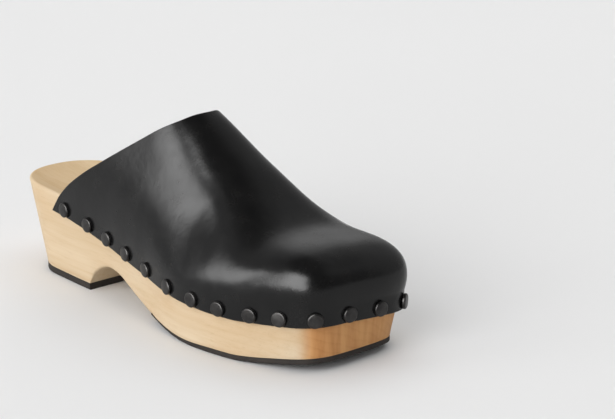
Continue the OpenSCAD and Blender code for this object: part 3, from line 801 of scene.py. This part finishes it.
def build_studs():
    edge_r, dome = 0.85, 0.22
    head = [(0, -STUD_SHANK), (0.35, -STUD_SHANK + 1.2), (STUD_SHANK_R, -STUD_SHANK + 4),
            (STUD_SHANK_R, -0.2), (1.3, 0.0), (STUD_R - 0.4, 0.0), (STUD_R - 0.08, 0.12), (STUD_R, 0.45)]
    for a in np.radians((0, 15, 30, 45, 60, 75, 90)):
        head.append((STUD_R - edge_r * (1 - math.cos(a)), STUD_H - dome - edge_r * (1 - math.sin(a))))
    head += [(r, STUD_H - dome * (r / (STUD_R - edge_r)) ** 2) for r in (3.0, 2.1, 1.1)] + [(0, STUD_H)]
    shape, faces = revolved(head, 40)
    rng = np.random.default_rng(24)
    groups = (
        ("lateral_stud_row", "lateral_studs", range(0, SIDE_STUDS)),
        ("toe_stud_row", "toe_studs", range(SIDE_STUDS, STUD_COUNT - SIDE_STUDS)),
        ("medial_stud_row", "medial_studs", range(STUD_COUNT - SIDE_STUDS, STUD_COUNT)),
    )
    for name, node, ks in groups:
        points, joined = [], []
        for k in ks:
            out = STUD_OUT[k]
            tilt = rng.normal(0, 0.022, 2)
            up = np.array([0, 0, 1.0])
            side = np.cross(up, out)
            axis = out + tilt[0] * up + tilt[1] * side
            axis /= np.linalg.norm(axis)
            side = np.cross(up, axis)
            side /= np.linalg.norm(side)
            third = np.cross(axis, side)
            wave = shape.copy()
            r, turn = np.hypot(wave[:, 0], wave[:, 1]), np.arctan2(wave[:, 1], wave[:, 0])
            # Three numbers for each stud, of which two shape its edge
            oval, lobed = rng.uniform(0, 6, 3)[:2]
            swell = 1 + 0.012 * np.sin(2 * turn + oval) + 0.008 * np.sin(5 * turn + lobed)
            wave[:, :2] *= np.where(r > 3, swell, 1)[:, None]
            placed = STUDS[k] + wave[:, :1] * side + wave[:, 1:2] * third + (wave[:, 2:] + GAP - 0.12) * axis
            start = sum(len(p) for p in points)
            points.append(placed)
            joined += [[v + start for v in f] for f in faces]
        mesh = bpy.data.meshes.new(name)
        mesh.from_pydata(((np.concatenate(points) - CENTRE) * MM).tolist(), [], joined)
        mesh.validate()
        mesh.polygons.foreach_set("use_smooth", [True] * len(mesh.polygons))
        mesh.set_sharp_from_angle(angle=math.radians(50))
        mesh.materials.append(STUD_METAL)
        piece = bpy.data.objects.new(name, mesh)
        bpy.context.scene.collection.objects.link(piece)
        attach(piece, "root")
        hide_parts(node)


build_sole()
build_lift()
build_outsole()
build_upper()
build_studs()

for node in ("outsole_nails", "heel_lift_nails"):
    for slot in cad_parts[node].material_slots:
        slot.material = NAIL_STEEL


# ---------------------------------------------------------------- floor, lights and camera
# Soft boxes round the clog: azimuth and elevation of the middle, half width and half height, how far its
# edges fade (degrees), radiance in the leather's gloss. Everything else gets a smaller share of it.
SOFT_BOXES = (
    (-75, 23, 23, 28, 16, 12.5),
    (-120, 21, 11, 14, 12, 10.0),
    (138, 36, 14, 16, 14, 0.65),
)
WALL_PALE, WALL_DARK, CEILING = 0.50, 0.05, 0.04  # radiances
WALL_DARK_AZIMUTH, WALL_DARK_WITHIN, WALL_PALE_BEYOND = -5, 22, 48  # the dark part of the walls, degrees
WALL_FADES_FROM, WALL_FADES_TO = 52, 72  # elevations between which the walls give way to the ceiling
BOX_SHARE = 0.25  # of a soft box's radiance, for every ray but a reflected one
HORIZON = 0.8  # what the camera sees beyond the floor
OVERHEAD_STRENGTH, OVERHEAD_WIDTH, OVERHEAD_TILT = 1.17, 70, (-12, -8)  # angles in degrees
FLOOR_R, FLOOR_SIDES = 9, 96


def floor():
    n = Nodes("floor")
    cloud = n.noise(n.stretched(2, 2, 2), 2, 0.5)
    colour = n.mix(n.span(cloud, 0.3, 0.7), (0.80, 0.80, 0.80, 1), (0.81, 0.81, 0.81, 1))
    material = n.finish(Base_Color=colour, Roughness=0.9, Specular_IOR_Level=0.1)
    mesh = bpy.data.meshes.new("floor")
    turns = np.linspace(0, 2 * math.pi, FLOOR_SIDES, endpoint=False)
    rim = [(FLOOR_R * math.cos(t), FLOOR_R * math.sin(t), 0.0) for t in turns]
    mesh.from_pydata(rim, [], [list(range(FLOOR_SIDES))])
    mesh.materials.append(material)
    plane = bpy.data.objects.new("floor", mesh)
    bpy.context.scene.collection.objects.link(plane)


def studio():
    """Surroundings: pale walls with one dark part, a dark ceiling, and the soft boxes."""
    world = bpy.data.worlds.new("studio")
    world.use_nodes = True
    tree = world.node_tree
    tree.nodes.clear()

    def math_node(operation, a, b=0.0):
        node = tree.nodes.new("ShaderNodeMath")
        node.operation = operation
        for socket, value in zip(node.inputs, (a, b)):
            if isinstance(value, bpy.types.NodeSocket):
                tree.links.new(value, socket)
            else:
                socket.default_value = value
        return node.outputs[0]

    def fade(value, low, high, to_low, to_high):
        node = tree.nodes.new("ShaderNodeMapRange")
        node.interpolation_type = "SMOOTHSTEP"
        tree.links.new(value, node.inputs["Value"])
        for key, number in (("From Min", low), ("From Max", high), ("To Min", to_low), ("To Max", to_high)):
            node.inputs[key].default_value = number
        return node.outputs[0]

    direction = tree.nodes.new("ShaderNodeTexCoord").outputs["Generated"]
    unit = tree.nodes.new("ShaderNodeVectorMath")
    unit.operation = "NORMALIZE"
    tree.links.new(direction, unit.inputs[0])
    split = tree.nodes.new("ShaderNodeSeparateXYZ")
    tree.links.new(unit.outputs[0], split.inputs[0])
    azimuth = math_node("DEGREES", math_node("ARCTAN2", split.outputs["Y"], split.outputs["X"]))
    elevation = math_node("DEGREES", math_node("ARCSINE", split.outputs["Z"]))

    def off_by(value, middle, whole_turn=False):
        if not whole_turn:
            return math_node("ABSOLUTE", math_node("SUBTRACT", value, middle))
        turned = math_node("FLOORED_MODULO", math_node("ADD", value, 180.0 - middle), 360.0)
        return math_node("ABSOLUTE", math_node("SUBTRACT", turned, 180.0))

    from_dark = off_by(azimuth, WALL_DARK_AZIMUTH, True)
    walls = fade(from_dark, WALL_DARK_WITHIN, WALL_PALE_BEYOND, WALL_DARK, WALL_PALE)
    below = fade(elevation, WALL_FADES_FROM, WALL_FADES_TO, 1.0, 0.0)
    total = math_node("ADD", math_node("MULTIPLY", walls, below), CEILING)
    rays = tree.nodes.new("ShaderNodeLightPath").outputs
    share = math_node("ADD", math_node("MULTIPLY", rays["Is Glossy Ray"], 1.0 - BOX_SHARE), BOX_SHARE)
    for middle, height, half_width, half_height, soft, radiance in SOFT_BOXES:
        across = fade(off_by(azimuth, middle, True), half_width - soft / 2, half_width + soft / 2, 1.0, 0.0)
        up = fade(off_by(elevation, height), half_height - soft / 2, half_height + soft / 2, 1.0, 0.0)
        box = math_node("MULTIPLY", math_node("MULTIPLY", across, up), radiance)
        total = math_node("ADD", total, math_node("MULTIPLY", box, share))
    unseen = math_node("MULTIPLY", total, math_node("SUBTRACT", 1.0, rays["Is Camera Ray"]))
    total = math_node("ADD", unseen, math_node("MULTIPLY", rays["Is Camera Ray"], HORIZON))
    background = tree.nodes.new("ShaderNodeBackground")
    background.inputs["Color"].default_value = (1, 1, 1, 1)
    tree.links.new(total, background.inputs["Strength"])
    tree.links.new(background.outputs[0], tree.nodes.new("ShaderNodeOutputWorld").inputs["Surface"])
    bpy.context.scene.world = world


def overhead():
    """Wide light from above that does not show in the leather's gloss."""
    light = bpy.data.lights.new("overhead", "SUN")
    light.energy, light.angle = OVERHEAD_STRENGTH, math.radians(OVERHEAD_WIDTH)
    obj = bpy.data.objects.new("overhead", light)
    obj.location = (0, 0, 2)
    obj.rotation_euler = (*(math.radians(a) for a in OVERHEAD_TILT), 0)
    obj.visible_glossy = False
    bpy.context.scene.collection.objects.link(obj)


floor()
studio()
overhead()
bpy.context.scene.view_settings.view_transform = "Standard"

CAMERA_AZIMUTH, CAMERA_ELEVATION = 49.33, 17.85  # degrees
CAMERA_PLACE, CAMERA_LENS = (1.05902, -0.82874, 0.4873), 150.42
camera = bpy.data.cameras.new("camera")
camera.lens, camera.sensor_width, camera.sensor_fit = CAMERA_LENS, 36.0, "HORIZONTAL"
camera.clip_start, camera.clip_end = 0.05, 50
view = bpy.data.objects.new("camera", camera)
view.location = CAMERA_PLACE
view.rotation_euler = (math.radians(90 - CAMERA_ELEVATION), 0, math.radians(CAMERA_AZIMUTH))
bpy.context.scene.collection.objects.link(view)
bpy.context.scene.camera = view
